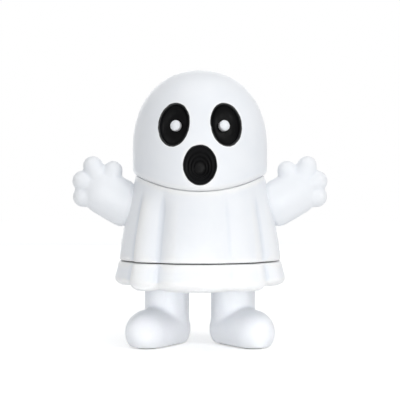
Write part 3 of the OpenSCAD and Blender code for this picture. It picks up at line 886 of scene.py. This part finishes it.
for name, node, spot, rx, ry, rings, sink in (
        ("left_eye_hollow", "left_eye_cup", left_eye_spot, eye_rx, eye_ry, eye_rings, 0),
        ("right_eye_hollow", "right_eye_cup", right_eye_spot, eye_rx, eye_ry, eye_rings, 0),
        ("mouth_hollow", "mouth_cup", mouth_spot, mouth_rx, mouth_ry, mouth_rings, mouth_sink)):
    piece = cup(name, spot, rx - lip, ry - lip, rings, sink)
    finish_piece(piece, black_glaze)
    stand_for(piece, node, "head")

# Each pupil is a small domed stud of white clay, glazed and stuck to the floor of its cup
# before firing.
pupil_r, pupil_h = 2.35 * mm, 2.6 * mm
pupil_crown = 0.7 * mm
cup_floor = 4.2 * mm
crown_r = (pupil_r ** 2 + pupil_crown ** 2) / (2 * pupil_crown)
crown_turn = math.degrees(math.acos(pupil_r / crown_r))
for name, node, spot in (("left_pupil_stud", "left_pupil", left_eye_spot),
                         ("right_pupil_stud", "right_pupil", right_eye_spot)):
    stud = turned([(0, 0), (pupil_r, 0)] + arc(pupil_h - crown_r, crown_r, crown_turn, 90), 64)
    bmesh.ops.translate(stud, vec=(0, 0, -cup_floor), verts=stud.verts)
    bmesh.ops.transform(stud, matrix=spot, verts=stud.verts)
    piece = as_piece(stud, name)
    edge = piece.modifiers.new("edge", "BEVEL")
    edge.width = 0.35 * mm
    edge.segments = 4
    settle(piece)
    finish_piece(piece, white_glaze)
    stand_for(piece, node, "head")

# The studio: a white sweep that looks plain white to the camera and keeps the figure's soft
# shadow, soft lamps at the front right, above and behind, a wide strip low in front with a
# narrow one for the feet, and even light all round.
floor_mesh = bmesh.new()
bmesh.ops.create_grid(floor_mesh, x_segments=1, y_segments=1, size=3)
floor = as_piece(floor_mesh, "floor")


def seen_directly(tree):
    """One for what the camera sees, straight or mirrored in the glaze, and nothing else."""
    ways = add(tree, "ShaderNodeLightPath").outputs
    mirrored_ways = worked_out(tree, "MAXIMUM", ways["Is Glossy Ray"], ways["Is Transmission Ray"])
    return worked_out(tree, "MAXIMUM", ways["Is Camera Ray"], mirrored_ways)


sweep, sweep_tree = new_material("white sweep")
paper = add(sweep_tree, "ShaderNodeBsdfDiffuse", {"Color": (0.93, 0.93, 0.93, 1)})
glow = add(sweep_tree, "ShaderNodeEmission")
from_figure = add(sweep_tree, "ShaderNodeVectorMath", operation="LENGTH")
dark = add(sweep_tree, "ShaderNodeEmission", {"Strength": 0})
glow_seen = add(sweep_tree, "ShaderNodeMixShader")
both = add(sweep_tree, "ShaderNodeAddShader")
sweep_out = add(sweep_tree, "ShaderNodeOutputMaterial")
join(sweep_tree, (add(sweep_tree, "ShaderNodeTexCoord").outputs["Object"], from_figure.inputs[0]),
     (ranged(sweep_tree, from_figure.outputs["Value"], 0.1, 1.6, 0.43, 0.62), glow.inputs["Strength"]),
     (seen_directly(sweep_tree), glow_seen.inputs[0]), (dark.outputs[0], glow_seen.inputs[1]),
     (glow.outputs[0], glow_seen.inputs[2]), (paper.outputs[0], both.inputs[0]),
     (glow_seen.outputs[0], both.inputs[1]), (both.outputs[0], sweep_out.inputs["Surface"]))
floor.data.materials.append(sweep)

middle_z, feet_z = 62 * mm, 8 * mm
world = bpy.data.worlds.new("studio")
bpy.context.scene.world = world
world.use_nodes = True
world_tree = world.node_tree
world_tree.nodes.clear()
room_light = add(world_tree, "ShaderNodeBackground", {"Color": (0.97, 0.985, 1, 1), "Strength": 0.42})
white_back = add(world_tree, "ShaderNodeBackground", {"Color": (1, 1, 1, 1), "Strength": 1})
back_seen = add(world_tree, "ShaderNodeMixShader")
world_out = add(world_tree, "ShaderNodeOutputWorld")
join(world_tree, (seen_directly(world_tree), back_seen.inputs[0]),
     (room_light.outputs[0], back_seen.inputs[1]),
     (white_back.outputs[0], back_seen.inputs[2]), (back_seen.outputs[0], world_out.inputs["Surface"]))

for name, place, width, height, power, spread, aim_z in (
        ("key lamp", (0.6, -0.6, 0.45), 0.5, 0.5, 1.87, 180, middle_z),
        ("front strip", (0, -0.9, 0.08), 0.8, 0.14, 2.45, 180, middle_z),
        ("top lamp", (0.05, -0.2, 0.9), 0.8, 0.8, 2.0, 180, middle_z),
        ("back lamp", (-0.1, 0.95, 0.2), 0.9, 0.9, 2.6, 180, middle_z),
        ("foot lamp", (0, -0.5, 0.03), 0.2, 0.03, 0.009, 11, feet_z)):
    lamp = bpy.data.lights.new(name, "AREA")
    lamp.shape = "RECTANGLE"
    lamp.size, lamp.size_y = width, height
    lamp.energy = power
    lamp.spread = math.radians(spread)
    stand = bpy.data.objects.new(name, lamp)
    stand.location = place
    stand.rotation_euler = (Vector((0, 0, aim_z)) - stand.location).to_track_quat("-Z", "Y").to_euler()
    bpy.context.collection.objects.link(stand)

# The camera stands level in front of the figure, at about half its height.
camera_data = bpy.data.cameras.new("camera")
camera_data.lens = 76.5
camera_data.sensor_width = 36
camera_data.shift_y = 0.0145
camera_data.clip_start = 0.01
camera_data.clip_end = 20
camera = bpy.data.objects.new("camera", camera_data)
camera.location = (0, -0.391, 0.0642)
camera.rotation_euler = (math.pi / 2, 0, 0)
bpy.context.collection.objects.link(camera)
bpy.context.scene.camera = camera
bpy.context.scene.view_settings.view_transform = "Standard"
